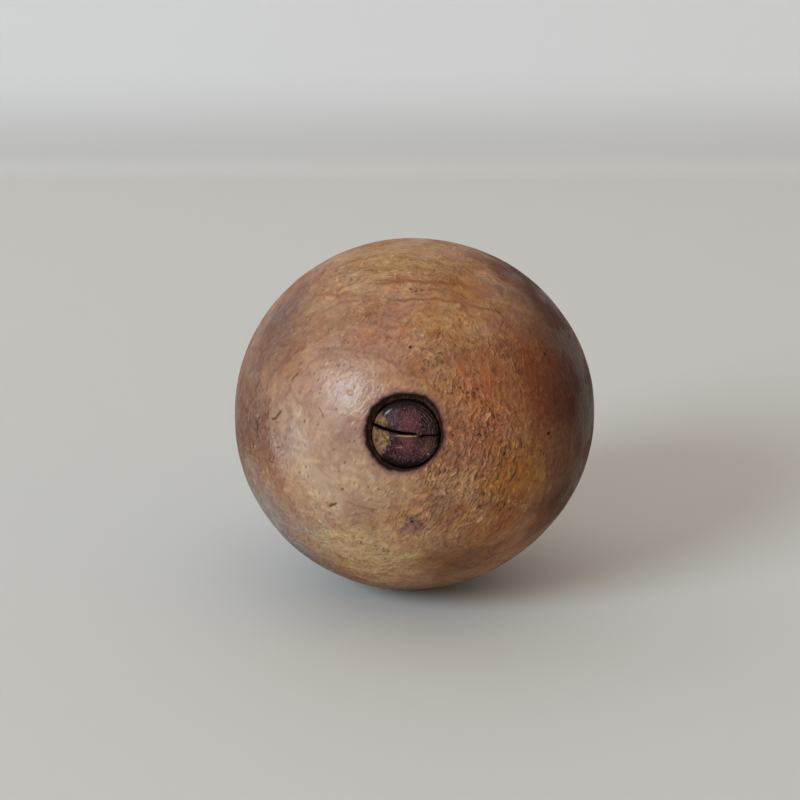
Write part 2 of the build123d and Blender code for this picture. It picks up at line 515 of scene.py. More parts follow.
def end_relief(x, y):
    """Small heights on the plug's end: soft hollows, turned rings near its right side, and grain."""
    away = np.hypot(x, y)
    spot = np.stack((x / 1.6, y / 1.6, np.full(len(x), 2.0)), axis=1)
    height = PLUG_CROWN_NOISE * noise_at(spot, 2)
    grain = np.stack((x / END_GRAIN_WIDTH, y / END_GRAIN_LENGTH, np.full(len(x), 5.0)), axis=1)
    height += END_GRAIN_HEIGHT * noise_at(grain)
    wobble = 0.25 * noise_at(spot * 0.8)
    rings = np.cos((away + wobble) * 2 * math.pi / END_RING_SPACING)
    at_right = smooth(x, 0.5, 4.0) * smooth(away, 3.9, 4.7) * (1 - smooth(away, 6.0, 6.3))
    at_left = smooth(-x, 2.0, 4.5) * smooth(away, 5.2, 5.5) * (1 - smooth(away, 6.0, 6.2))
    return height + END_RING_HEIGHT * rings * at_right - LEFT_EDGE_SINK * at_left


def grid_rows(across):
    """Rows of the grid on the plug's end, with their depths. The crack's edges lie on rows of their own."""
    low_edge, high_edge = np.zeros(len(across)), np.zeros(len(across))
    for _ in range(4):
        for edge, sign in ((low_edge, -1.0), (high_edge, 1.0)):
            middle, half = crack_edges(across * np.sqrt(1 - edge**2 / 2) * PLUG_RADIUS)
            edge[:] = (middle + sign * half) / (PLUG_RADIUS * np.sqrt(1 - across**2 / 2))
    half_rows, width = PLUG_GRID // 2, high_edge - low_edge
    wall = [(CRACK_WALL_SHARE * k / CRACK_ROWS, CRACK_DEPTH * (k / CRACK_ROWS) ** CRACK_FLARE)
            for k in range(1, CRACK_ROWS + 1)]
    rows = [(-1.0 + (low_edge + 1.0) * i / half_rows, 0.0) for i in range(half_rows + 1)]
    rows += [(low_edge + width * share, depth) for share, depth in wall]
    rows += [(high_edge - width * share, depth) for share, depth in reversed(wall)]
    return rows + [(high_edge + (1.0 - high_edge) * i / half_rows, 0.0) for i in range(half_rows + 1)]


def plug_end(across, top):
    """Points of the plug's end, row by row, and whether each is in the crack and how near it is to it."""
    bridge_from, bridge_to = LEFT_CRACK[-1][0] * PLUG_RADIUS, RIGHT_CRACK[0][0] * PLUG_RADIUS
    points, crack, fringe = [], [], []
    for row, depth in grid_rows(across):
        disc_x, disc_y = across * np.sqrt(1 - row**2 / 2), row * np.sqrt(1 - across**2 / 2)
        share = np.hypot(disc_x, disc_y)
        radius, height = dome_profile(np.minimum(share, 1.0))
        scale = np.where(share > 1e-9, radius / np.maximum(share, 1e-9), PLUG_RADIUS)
        x, y = disc_x * scale, disc_y * scale
        whole = smooth(np.minimum(np.abs(x - bridge_from), np.abs(x - bridge_to)), 0.0, BRIDGE_FADE)
        cracked = np.where((x > bridge_from) & (x < bridge_to), 0.0, 1.0)
        height = height + end_relief(x, y) * (1 - smooth(share, *END_RELIEF_FADE)) - depth * whole * cracked
        points.append(on_plug_plane(x, y, top + height))
        crack.append(cracked * (depth > 0))
        middle, half = crack_edges(x)
        off = np.maximum(np.abs(y - middle) - half, 0.0)
        fringe.append(np.exp(-((off / CRACK_FRINGE) ** 2)) * cracked * (half > THIN_CRACK))
    return np.vstack(points), np.concatenate(crack), np.concatenate(fringe)


def grid_border(rows, columns):
    """Numbers of the points on the border of a grid, once round."""
    border = list(range(columns))
    border += [r * columns + columns - 1 for r in range(1, rows)]
    border += [(rows - 1) * columns + c for c in range(columns - 2, -1, -1)]
    return border + [r * columns for r in range(rows - 2, 0, -1)]


def build_plug(material):
    """The plug: a domed end grid with a stepped crack sunk into it, and a round side below."""
    top = BALL_RADIUS - PLUG_INSET - PLUG_RECESS
    bottom = top - PLUG_LENGTH
    across = np.linspace(-1.0, 1.0, PLUG_GRID + 1)
    end_points, crack, fringe = plug_end(across, top)
    columns, rows = len(across), len(end_points) // len(across)
    faces = []
    for r in range(rows - 1):
        for c in range(columns - 1):
            a = r * columns + c
            faces.append((a, a + 1, a + columns + 1, a + columns))
    previous, at, points = grid_border(rows, columns), len(end_points), [end_points]
    edge_points = end_points[previous]
    turn = np.arctan2(edge_points @ PLUG_UP, edge_points @ PLUG_RIGHT)
    for height in (top - CRACK_DEPTH - SIDE_RING_DROP, (top + bottom) / 2 - SIDE_RING_DROP, bottom):
        points.append(on_plug_plane(PLUG_RADIUS * np.cos(turn), PLUG_RADIUS * np.sin(turn), height))
        numbers = list(range(at, at + len(turn)))
        faces += join_rings(numbers, previous)
        previous, at = numbers, at + len(turn)
    points.append(on_plug_plane(np.zeros(1), np.zeros(1), bottom))
    faces += fan(previous, at)
    rest = np.zeros(at + 1 - len(end_points))
    marks = {"in_crack_painted_dark": np.concatenate((crack, rest)), "near_crack": np.concatenate((fringe, rest))}
    return mesh_piece("glued_plug", np.vstack(points), faces, material, "plug", marks)


def paint(red, green, blue):
    """A colour from its red, green and blue as a screen shows them, 0 to 255."""
    parts = []
    for part in (red, green, blue):
        part = part / 255
        parts.append(part / 12.92 if part <= 0.04045 else ((part + 0.055) / 1.055) ** 2.4)
    return (*parts, 1.0)


class Nodes:
    """Adds nodes to the tree of a material or of a node group."""

    def __init__(self, tree):
        self.tree = tree

    def link(self, result, socket):
        """Links a result to a socket."""
        self.tree.links.new(result, socket)

    def feed(self, sockets, inputs):
        """Links each input that is a socket, and sets each that is a value."""
        for name, value in inputs.items():
            if isinstance(value, bpy.types.NodeSocket):
                self.link(value, sockets[name])
            else:
                sockets[name].default_value = tuple(float(v) for v in value) if np.ndim(value) else value

    def add(self, kind, inputs=None, **settings):
        """A new node with its settings and inputs."""
        made = self.tree.nodes.new("ShaderNode" + kind)
        for name, value in settings.items():
            setattr(made, name, value)
        self.feed(made.inputs, inputs or {})
        return made

    def calc(self, operation, *values):
        """The result of a sum on one, two or three numbers."""
        return self.add("Math", dict(enumerate(values)), operation=operation).outputs[0]

    def move(self, operation, *values):
        """The result of a sum on vectors."""
        made = self.add("VectorMath", dict(enumerate(values)), operation=operation)
        return made.outputs["Value" if operation in ("DOT_PRODUCT", "DISTANCE", "LENGTH") else "Vector"]

    def stretch(self, vector, factor):
        """The vector, longer by a factor."""
        return self.add("VectorMath", {0: vector, "Scale": factor}, operation="SCALE").outputs["Vector"]

    def fade(self, value, low, high, start=0.0, end=1.0):
        """A soft step of the value, from start at low to end at high."""
        inputs = {"Value": value, "From Min": low, "From Max": high, "To Min": start, "To Max": end}
        return self.add("MapRange", inputs, interpolation_type="SMOOTHSTEP").outputs["Result"]

    def mix(self, mask, below, above, blend="MIX"):
        """One colour over another, where the mask says."""
        made = self.add("Mix", {0: mask, 6: below, 7: above}, data_type="RGBA", blend_type=blend)
        return made.outputs[2]

    def times(self, first, second):
        """The product of two numbers."""
        return self.calc("MULTIPLY", first, second)

    def scaled(self, value, factor, offset):
        """The value times a factor, plus an offset."""
        return self.calc("MULTIPLY_ADD", value, factor, offset)

    def larger(self, first, second):
        """The larger of two numbers."""
        return self.calc("MAXIMUM", first, second)

    def tint(self, colour, mask, strength, tone):
        """The colour with a tone over it, as strong as the mask times the strength."""
        return self.mix(self.times(mask, strength), colour, tone)

    def dye(self, colour, mask, factors):
        """The colour with its red, green and blue multiplied by factors, where the mask says."""
        return self.mix(mask, colour, factors, "MULTIPLY")

    def soft_noise(self, vector, detail, roughness=0.5):
        """Noise at a point. Its outputs are a height from 0 to 1 and a colour."""
        inputs = {"Vector": vector, "Scale": 1.0, "Detail": detail, "Roughness": roughness}
        return self.add("TexNoise", inputs).outputs

    def shift(self, drawn, reach):
        """A shift of a point from the colours of a noise, by up to half the reach each way."""
        return self.stretch(self.move("SUBTRACT", drawn["Color"], (0.5, 0.5, 0.5)), reach)

    def mark(self, name):
        """A value that a mesh keeps on its points."""
        return self.add("Attribute", attribute_name=name).outputs["Fac"]

    def use(self, group, **inputs):
        """The outputs of a node group with its own values."""
        made = self.tree.nodes.new("ShaderNodeGroup")
        made.node_tree = group
        self.feed(made.inputs, inputs)
        return made.outputs


def new_group(name, vectors, values, results):
    """A shader node group, its inner input sockets and its output sockets."""
    tree = bpy.data.node_groups.new(name, "ShaderNodeTree")
    kinds = (vectors, "INPUT", "Vector"), (values, "INPUT", "Float"), (results, "OUTPUT", "Float")
    for labels, way, kind in kinds:
        for label in labels.split():
            tree.interface.new_socket(name=label, in_out=way, socket_type="NodeSocket" + kind)
    inner, outer = tree.nodes.new("NodeGroupInput"), tree.nodes.new("NodeGroupOutput")
    return Nodes(tree), inner.outputs, outer.inputs


def drawn_out(g, given):
    """A group's point, divided by its Length along its direction and by its Width across it."""
    along = g.move("DOT_PRODUCT", given["Point"], given["Along"])
    long_way, short_way = g.calc("DIVIDE", along, given["Length"]), g.calc("DIVIDE", along, given["Width"])
    across = g.stretch(given["Point"], g.calc("DIVIDE", 1.0, given["Width"]))
    return g.move("ADD", across, g.stretch(given["Along"], g.calc("SUBTRACT", long_way, short_way)))


def fibre_group():
    """Short streaks drawn out along the fibres: a height from 0 to 1."""
    g, given, out = new_group("fibre streaks", "Point Along", "Length Width Detail", "Height")
    g.link(g.soft_noise(drawn_out(g, given), given["Detail"], 0.55)[0], out["Height"])
    return g.tree


def cloud_group():
    """Soft blotches of one size: a mask that is 0 below one level of the noise and 1 above another."""
    g, given, out = new_group("soft blotches", "Point Shift", "Size Low High", "Mask")
    moved = g.move("ADD", g.stretch(given["Point"], g.calc("DIVIDE", 1.0, given["Size"])), given["Shift"])
    g.link(g.fade(g.soft_noise(moved, 2.5, 0.55)[0], given["Low"], given["High"]), out["Mask"])
    return g.tree


def patch_group():
    """A soft round patch about a place: 1 in its middle and 0 beyond its radius."""
    g, given, out = new_group("soft patch", "Point Place", "Radius Soft", "Mask")
    away = g.move("DISTANCE", given["Point"], given["Place"])
    inner = g.times(given["Radius"], g.calc("SUBTRACT", 1.0, given["Soft"]))
    g.link(g.fade(away, inner, given["Radius"], 1.0, 0.0), out["Mask"])
    return g.tree


def layer_group():
    """Growth layers across a direction: a thin late-wood line, and a slow shade between lines."""
    g, given, out = new_group("growth layers", "Point Across", "Spacing Wander Shift", "Line Shade")
    slow = g.soft_noise(g.stretch(given["Point"], 0.07), 1.0)[0]
    fine = g.soft_noise(g.stretch(given["Point"], 0.45), 1.0)[0]
    sway = g.calc("ADD", g.scaled(slow, 6.0, -3.0), g.scaled(fine, 0.8, -0.4))
    depth = g.scaled(sway, given["Wander"], g.move("DOT_PRODUCT", given["Point"], given["Across"]))
    turn = g.calc("FRACT", g.calc("ADD", g.calc("DIVIDE", depth, given["Spacing"]), given["Shift"]))
    g.link(g.times(g.fade(turn, 0.78, 0.93), g.fade(turn, 0.95, 1.0, 1.0, 0.0)), out["Line"])
    g.link(g.times(g.fade(turn, 0.1, 0.85), g.fade(turn, 0.88, 1.0, 1.0, 0.0)), out["Shade"])
    return g.tree


def line_group():
    """One worn line between two places on the ball: 1 along its middle and 0 beyond its width."""
    g, given, out = new_group("worn line", "Point Across Middle", "Reach Width", "Mask")
    off = g.calc("ABSOLUTE", g.move("DOT_PRODUCT", given["Point"], given["Across"]))
    away = g.move("DISTANCE", given["Point"], given["Middle"])
    ending = g.fade(away, g.times(given["Reach"], 0.55), given["Reach"], 1.0, 0.0)
    g.link(g.times(g.fade(off, 0.0, given["Width"], 1.0, 0.0), ending), out["Mask"])
    return g.tree


def pore_group():
    """Scattered pores, drawn out along the fibres: a mask that is 1 inside a pore."""
    g, given, out = new_group("scattered pores", "Point Along", "Length Width Share Size", "Mask")
    cell = g.add("TexVoronoi", {"Vector": drawn_out(g, given), "Scale": 1.0, "Randomness": 1.0}, feature="F1")
    luck = g.add("SeparateColor", {0: cell.outputs["Color"]}).outputs[0]
    inside = g.fade(cell.outputs["Distance"], g.times(given["Size"], 0.45), given["Size"], 1.0, 0.0)
    g.link(g.times(inside, g.calc("LESS_THAN", luck, given["Share"])), out["Mask"])
    return g.tree


def new_material(name):
    """An empty material, and its nodes."""
    material = bpy.data.materials.new(name)
    material.use_nodes = True
    material.node_tree.nodes.clear()
    return material, Nodes(material.node_tree)


class Wood(Nodes):
    """Nodes of a wood material, with its point in millimetres. Each kind sets its own cloud_point."""

    def __init__(self, name, effects):
        self.material, nodes = new_material(name)
        super().__init__(nodes.tree)
        self.effects = effects
        self.point = self.stretch(self.add("TexCoord").outputs["Object"], 1 / MM)

    def cloud(self, size, low, high, shift):
        """Soft blotches of one size."""
        clouds = self.effects["clouds"]
        return self.use(clouds, Point=self.cloud_point, Size=size, Low=low, High=high, Shift=shift)[0]

    def patch(self, point, place, radius, soft):
        """A soft round patch about a place."""
        return self.use(self.effects["patch"], Point=point, Place=place, Radius=radius, Soft=soft)[0]

    def streaks(self, point, along, length, width, detail):
        """Heights drawn out along a direction."""
        fibres = self.effects["fibres"]
        return self.use(fibres, Point=point, Along=along, Length=length, Width=width, Detail=detail)[0]

    def scattered(self, point, along, length, width, share, size):
        """Small marks scattered over a share of the wood, and drawn out along a direction."""
        pores = self.effects["pores"]
        made = self.use(pores, Point=point, Along=along, Length=length, Width=width, Share=share, Size=size)
        return made[0]

    def complete(self, colour, rough, raised, specular):
        """The material, with its colour, roughness, and heights in millimetres."""
        bump = self.add("Bump", {"Strength": 1.0, "Distance": MM, "Height": raised}).outputs[0]
        inputs = {"Base Color": colour, "Roughness": rough, "Normal": bump, "Specular IOR Level": specular}
        shader = self.add("BsdfPrincipled", inputs)
        self.add("OutputMaterial", {"Surface": shader.outputs[0]})
        return self.material


# Large soft stains on the ball: pixel, radius in millimetres, softness, strength, and colour as
# paint() takes it. A pale one also holds a painted sheen, and the dark ones at the right edge
# hold painted shade, as the comments below say.
STAINS = {
    "left_grey": ((248, 420), 15.0, 0.9, 0.88, (118, 90, 79)),
    "upper_left_mauve": ((277, 320), 13.0, 0.8, 0.88, (114, 88, 80)),
    "left_brown": ((258, 361), 9.0, 0.9, 0.80, (124, 94, 78)),
    "left_pink": ((285, 398), 7.0, 0.9, 0.40, (172, 142, 124)),
    "top_yellow": ((400, 246), 17.0, 0.7, 0.75, (182, 144, 96)),
    "upper_left_tan": ((326, 350), 8.0, 0.8, 0.60, (172, 138, 114)),
    "upper_middle_pink": ((380, 335), 11.0, 0.8, 0.65, (162, 114, 96)),
    "upper_ochre": ((440, 322), 9.0, 0.8, 0.70, (180, 134, 84)),
    "upper_orange": ((465, 285), 7.0, 0.9, 0.60, (160, 98, 42)),
    # Pale rubbed wood, its colour lifted into a painted sheen where the key lamp's highlight lies.
    "rubbed_pale_and_painted_sheen": ((338, 402), 14.0, 0.9, 0.85, (188, 154, 134)),
    "in_the_sheen": ((349, 391.5), 0.8, 0.8, 0.75, (120, 96, 68)),
    "left_of_plug_mauve": ((352, 446), 7.0, 0.8, 0.75, (146, 110, 102)),
    "left_tan": ((290, 445), 9.0, 0.8, 0.70, (180, 156, 142)),
    "lower_left_tan": ((335, 485), 14.0, 0.8, 0.85, (194, 166, 136)),
    "lower_left_mauve": ((268, 516), 17.0, 0.9, 0.88, (148, 140, 140)),
    "lower_left_pale": ((322, 535), 9.0, 0.9, 0.65, (180, 166, 146)),
    "upper_left_pale": ((334, 288), 12.0, 0.9, 0.60, (184, 154, 120)),
    "right_of_plug": ((484, 436), 10.0, 0.8, 0.65, (154, 100, 78)),
    "upper_right_red": ((484, 385), 9.0, 0.8, 0.70, (170, 104, 68)),
    "right_brown": ((545, 380), 16.0, 0.8, 0.85, (132, 68, 30)),
    # The next three darken the right edge: partly old stain, partly painted shade on the side away from the
    # key lamp.
    "right_dark_stain_and_shade": ((582, 400), 22.0, 0.9, 0.96, (54, 18, 4)),
    "upper_right_dark_stain_and_shade": ((556, 314), 18.0, 0.9, 0.93, (58, 20, 4)),
    "upper_right_mauve": ((515, 268), 12.0, 0.9, 0.88, (80, 40, 28)),
    "lower_right_olive": ((516, 472), 10.0, 0.8, 0.65, (168, 116, 48)),
    "lower_right_orange": ((508, 520), 8.0, 0.8, 0.60, (152, 90, 48)),
    # Partly old stain, partly painted shade at the lower right edge.
    "lower_right_edge_stain_and_shade": ((566, 495), 17.0, 0.9, 0.92, (68, 32, 8)),
    "bottom_yellow": ((370, 556), 15.0, 0.8, 0.85, (192, 164, 124)),
    "bottom_right_brown": ((460, 564), 12.0, 0.8, 0.75, (118, 78, 42)),
    "below_left_of_plug": ((358, 511), 6.0, 0.9, 0.60, (140, 104, 84)),
    "lower_right_of_plug": ((464, 460), 6.0, 0.9, 0.65, (166, 122, 98)),
    "below_the_plug_tan": ((395, 486), 7.0, 0.9, 0.65, (178, 144, 116)),
    "lower_middle": ((437, 508), 6.0, 0.9, 0.50, (130, 96, 78)),
    "bottom_edge_olive": ((440, 588), 9.0, 0.9, 0.55, (122, 96, 62)),
    "lower_mauve": ((419, 525), 3.2, 0.7, 0.85, (130, 98, 100)),
    "upper_right_smudge": ((497, 286), 1.8, 0.9, 0.55, (84, 54, 44)),
    "above_right_smudge": ((503, 306), 1.5, 0.9, 0.50, (84, 54, 44)),
}

# Large patches round the sides and the back: direction to the right, up and toward the camera, radius
# in millimetres, softness, strength and colour. Most are stains; the right side's are partly painted
# shade, and one makes the underside darker.
SIDE_STAINS = {
    # The next two darken the right side: partly old dark stain, partly painted shade on the side away from
    # the key lamp.
    "right_side_stain_and_shade": ((0.95, 0.05, -0.30), 36.0, 0.6, 0.80, (66, 32, 14)),
    "upper_right_side_stain_and_shade": ((0.62, 0.72, -0.32), 22.0, 0.8, 0.75, (76, 46, 36)),
    "left_side": ((-0.93, -0.05, -0.36), 34.0, 0.5, 0.80, (106, 80, 72)),
    "lower_left_side": ((-0.62, -0.72, -0.24), 27.0, 0.6, 0.92, (104, 92, 90)),
    # Darker towards the bottom of the ball.
    "under_side": ((0.10, -0.95, -0.28), 26.0, 0.6, 0.90, (102, 86, 62)),
    "back_worn_place": ((0.15, -0.15, -0.97), 20.0, 0.9, 0.60, (178, 138, 98)),
    "back_upper_place": ((-0.20, 0.80, -0.55), 17.0, 0.9, 0.55, (158, 118, 76)),
}

# What a blotch, a furrow or a ridge does to the colour under it: its red, green and blue are
# multiplied by these. The furrow and ridge factors are partly painted light and shade.
OCHRE = (1.04, 1.02, 0.88, 1.0)
RUST = (1.00, 0.84, 0.74, 1.0)
BLEACH = (1.16, 1.20, 1.20, 1.0)
MAUVE = (0.86, 0.82, 0.92, 1.0)
SHADE = (0.80, 0.76, 0.73, 1.0)
PALE = (1.20, 1.19, 1.14, 1.0)
RING = (0.78, 0.62, 0.52, 1.0)
# The next four darken furrows and lighten ridges: partly dirt and dry wear, partly painted shade in the
# furrows and painted light and glints on the ridges; the last also colours pale wood in chips.
DIRT_AND_SHADE = (0.50, 0.42, 0.38, 1.0)
DRY_AND_LIT = (1.35, 1.36, 1.34, 1.0)
CRUMB_SHADE = (0.42, 0.36, 0.34, 1.0)
SPLINTER_AND_GLINT = (1.32, 1.48, 1.60, 1.0)

# Growth lines and scars that show in the photograph: the pixels of both ends, half width in
# millimetres, strength and colour.
LINES = {
    "top": ((368, 284), (478, 286), 0.95, 0.80, (142, 80, 42)),
    "below_the_top_left": ((300, 295), (388, 299), 0.90, 0.60, (150, 96, 66)),
    "below_the_top_right": ((380, 299), (474, 303), 0.60, 0.70, (128, 74, 38)),
    "below_the_top_end": ((464, 302), (504, 313), 0.60, 0.60, (120, 70, 38)),
    "upper_left_arc_a": ((308, 348), (368, 350), 0.70, 0.60, (140, 100, 76)),
    "upper_left_arc_b": ((362, 349), (404, 367), 0.70, 0.60, (140, 96, 72)),
    "inner_arc": ((315, 365), (368, 372), 0.60, 0.50, (146, 106, 86)),
    "left_arc": ((288, 352), (264, 385), 0.60, 0.45, (112, 82, 66)),
    "lower_left_upper": ((340, 499), (378, 511), 0.45, 0.50, (134, 90, 70)),
    "lower_left_lower": ((343, 517), (378, 509), 0.45, 0.45, (134, 90, 70)),
    "left_dash": ((269.5, 419), (281, 410), 0.42, 0.90, (56, 28, 14)),
    "left_scratch": ((317, 406), (323, 418), 0.26, 0.80, (84, 54, 36)),
    "upper_left_dash": ((290, 382), (297.5, 370.5), 0.34, 0.80, (76, 50, 28)),
    "far_left_dash": ((254, 389), (261, 377), 0.45, 0.75, (84, 48, 28)),
    "far_left_smear": ((239, 425), (243, 440), 0.70, 0.60, (92, 52, 40)),
    "lower_left_dash": ((327, 506), (336, 502), 0.40, 0.90, (62, 38, 18)),
    "lower_left_tick": ((339.5, 491), (342.5, 487.5), 0.34, 0.80, (80, 52, 30)),
    "left_tick": ((274, 447), (279.5, 445), 0.34, 0.70, (84, 54, 36)),
    "right_pale": ((540, 434), (537, 516), 0.45, 0.50, (168, 112, 56)),
    "right_pale_shade": ((544, 434), (541, 516), 0.60, 0.40, (84, 48, 20)),
    "lower_right_a": ((457, 437), (449, 503), 0.70, 0.35, (112, 72, 44)),
    "lower_right_b": ((450, 497), (441, 560), 0.70, 0.35, (112, 72, 44)),
}

# Roughness of smooth wood, what open grain adds to it, and what the sheen takes off.
BASE_ROUGHNESS, GRAIN_ROUGHNESS, SHEEN_GLOSS = 0.34, 0.42, 0.13
BALL_SPECULAR, END_SPECULAR = 0.22, 0.12
# Heights of the bumps on the ball, in millimetres.
RIDGE_BUMP, SMOOTH_BUMP, PORE_BUMP, CHIP_BUMP, GRIT_BUMP = 0.33, 0.004, 0.06, 0.05, 0.014

# Small dark marks on the ball: pixel and radius in millimetres. Each fades out over a wider fringe.
MARK_FRINGE = 1.5
DARK_MARKS = {
    "upper_right": (545.0, 353.0, 0.36),
    "right": (548.0, 433.0, 0.38),
    "top": (410.0, 346.0, 0.27),
    "lower_right": (511.0, 537.0, 0.45),
    "below_the_plug": (411.5, 522.5, 0.34),
    "top_line_a": (410.5, 286.0, 0.36),
    "top_line_b": (415.5, 288.0, 0.32),
    "top_line_c": (421.0, 287.5, 0.28),
}


class BallWood(Wood):
    """Nodes of the ball's material, and the masks that its steps share."""

    def __init__(self, effects):
        super().__init__("worn wood", effects)
        warp = self.shift(self.soft_noise(self.stretch(self.point, 0.22), 2.0), 5.0)
        self.ripple = self.soft_noise(self.stretch(self.point, 0.7), 1.0)
        sway = self.shift(self.ripple, 0.5)
        self.bent = self.cloud_point = self.move("ADD", self.point, warp)
        self.ragged = self.move("ADD", self.point, self.stretch(warp, 1.2))
        self.wavy = self.move("ADD", self.move("ADD", self.point, self.stretch(warp, 0.16)), sway)
        self.swaying = self.move("ADD", self.move("ADD", self.point, self.stretch(warp, 0.35)), sway)
        # Where the wood is rubbed smooth, and where it is open and ridged. The ochre and the orange
        # keep away from the rubbed place, and the mauve keeps away from the rugged one.
        self.rubbed = self.spot(RUBBED, 24.0, 0.7)
        rugged = self.spot(RUGGED, 28.0, 0.8)
        self.ochre_share = self.scaled(self.rubbed, -0.7, 1.0)
        self.mauve_share = self.scaled(rugged, -0.7, 1.0)
        at_place = self.times(self.scaled(self.rubbed, -0.82, 1.0), self.scaled(rugged, 0.70, 0.34))
        at_place = self.larger(at_place, self.times(self.spot(SPECKLED, 15.0, 0.7), 0.75))
        self.open_grain = self.times(at_place, self.scaled(self.cloud(7.0, 0.38, 0.60, (0, 3, 0)), 0.6, 0.5))

    def spot(self, direction, radius, soft, point=None):
        """A soft patch about a place on the ball. It is ragged unless another point is given."""
        return self.patch(self.ragged if point is None else point, direction * PLACE_RADIUS, radius, soft)


def ground_colour(g):
    """Bare wood in two tones. The back of the ball keeps more of its old dark stain."""
    colour = g.mix(g.cloud(11.0, 0.38, 0.62, (0, 0, 0)), paint(180, 140, 108), paint(156, 112, 84))
    old_stain = g.mix(g.cloud(9.0, 0.36, 0.62, (3, 1, 7)), paint(96, 56, 34), paint(142, 98, 66))
    return g.tint(colour, g.spot(-SEEN_TOWARD, 51.0, 0.3), 0.75, old_stain)


def stained(g, colour):
    """Large blotches, the stains over them, and small blotches and flecks over both."""
    ochre = g.times(g.cloud(4.0, 0.42, 0.68, (9, 0, 0)), g.ochre_share)
    colour = g.tint(colour, ochre, 0.40, paint(184, 138, 80))
    mauve = g.times(g.cloud(5.0, 0.42, 0.68, (0, 7, 3)), g.mauve_share)
    colour = g.tint(colour, mauve, 0.45, paint(134, 90, 84))
    stains = [(as_seen(*place), *rest) for place, *rest in SIDE_STAINS.values()]
    stains += [(seen_at(*place), *rest) for place, *rest in STAINS.values()]
    for place, radius, soft, strength, tone in stains:
        colour = g.tint(colour, g.spot(place, radius, soft), strength, paint(*tone))
    for factors, size, low, high, shift, share in (
        (OCHRE, 3.2, 0.38, 0.70, (1, 6, 6), g.ochre_share),
        (RUST, 2.6, 0.40, 0.70, (4, 4, 0), g.ochre_share),
        (BLEACH, 1.8, 0.42, 0.72, (0, 4, 8), 1.0),
        (MAUVE, 1.4, 0.42, 0.72, (6, 1, 2), g.mauve_share),
        (SHADE, 1.1, 0.38, 0.62, (5, 5, 2), g.scaled(g.open_grain, 0.7, 0.45)),
        (PALE, 1.2, 0.42, 0.64, (8, 3, 5), g.scaled(g.open_grain, 0.7, 0.35)),
    ):
        colour = g.dye(colour, g.times(g.cloud(size, low, high, shift), share), factors)
    flecks = g.times(g.cloud(1.2, 0.54, 0.66, (2, 8, 2)), g.open_grain)
    return g.tint(colour, flecks, 0.24, paint(162, 82, 48))


def growth_lines(g, colour):
    """Faint growth layers all over, and the lines and scars that the table names."""
    layers = g.effects["layers"]
    line, shade = g.use(layers, Point=g.bent, Across=GRAIN_FACE, Spacing=3.7, Wander=0.55, Shift=0.35)
    seen_line = g.times(line, g.cloud(8.0, 0.36, 0.56, (5, 0, 5)))
    colour = g.tint(colour, shade, 0.16, paint(122, 72, 48))
    colour = g.dye(colour, g.times(seen_line, 0.40), RING)
    for start, end, width, strength, tone in LINES.values():
        first_end, last_end = seen_at(*start), seen_at(*end)
        across, middle = unit(np.cross(first_end, last_end)), (first_end + last_end) / 2 * PLACE_RADIUS
        reach = np.linalg.norm(first_end - last_end) / 2 * PLACE_RADIUS
        drawn = g.effects["line"]
        mask = g.use(drawn, Point=g.swaying, Across=across, Middle=middle, Reach=reach, Width=width)[0]
        colour = g.tint(colour, mask, strength, paint(*tone))
    return colour


def raised_grain(g, colour):
    """Dark furrows and dry, pale ridges, partly dirt and wear and partly painted shade and light of the
    raised grain, with painted shade deep in the furrows and painted glints on the highest ridges. Some
    follow the fibres, others the growth layers.
    """
    first, second = g.streaks(g.wavy, FIBRE, 1.6, 0.60, 0.6), g.streaks(g.wavy, GRAIN_FACE, 0.55, 1.5, 0.6)
    where = g.times(g.cloud(2.6, 0.44, 0.54, (7, 7, 1)), g.scaled(g.rubbed, -0.9, 0.9))
    fine = g.calc("ADD", g.times(first, g.calc("SUBTRACT", 1.0, where)), g.times(second, where))
    worn = g.times(g.open_grain, g.scaled(g.cloud(1.7, 0.36, 0.60, (3, 9, 4)), 0.9, 0.4))
    all_over, deep = g.scaled(worn, 0.70, 0.05), g.times(worn, 0.9)
    streaky = g.scaled(g.spot(STREAKY, 22.0, 0.8), 0.28, 0.08)
    broad = g.streaks(g.wavy, GRAIN_FACE, 0.55, 5.0, 1.5)
    for factors, height, start, end, share in (
        (DIRT_AND_SHADE, fine, 0.46, 0.30, all_over),
        (DRY_AND_LIT, fine, 0.54, 0.70, all_over),
        (DIRT_AND_SHADE, broad, 0.50, 0.34, streaky),
        (CRUMB_SHADE, fine, 0.37, 0.27, deep),
        (SPLINTER_AND_GLINT, fine, 0.62, 0.72, deep),
    ):
        colour = g.dye(colour, g.times(g.fade(height, start, end), share), factors)
    return colour, fine, worn


def small_marks(g, colour):
    """Nicks with dark bottoms, chips with pale dry wood, pores, and the small dark marks."""
    nick = g.scattered(g.point, NICK, 2.3, 0.62, 0.40, 0.27)
    nick = g.times(nick, g.fade(g.open_grain, 0.05, 0.7, 0.25, 1.0))
    chip = g.scattered(g.bent, FIBRE, 1.9, 0.85, 0.36, 0.30)
    chip = g.times(chip, g.fade(g.open_grain, 0.1, 0.7))
    pore = g.scattered(g.wavy, FIBRE, 1.5, 0.8, 0.24, 0.30)
    mark = 0.0
    for x, y, radius in DARK_MARKS.values():
        mark = g.larger(mark, g.spot(seen_at(x, y), radius * MARK_FRINGE, 0.5, g.wavy))
    colour = g.tint(colour, nick, 0.55, paint(80, 44, 24))
    colour = g.dye(colour, g.times(chip, 0.5), SPLINTER_AND_GLINT)
    colour = g.tint(colour, pore, 0.50, paint(104, 66, 42))
    return g.tint(colour, mark, 0.96, paint(44, 20, 10)), nick, chip, pore, mark


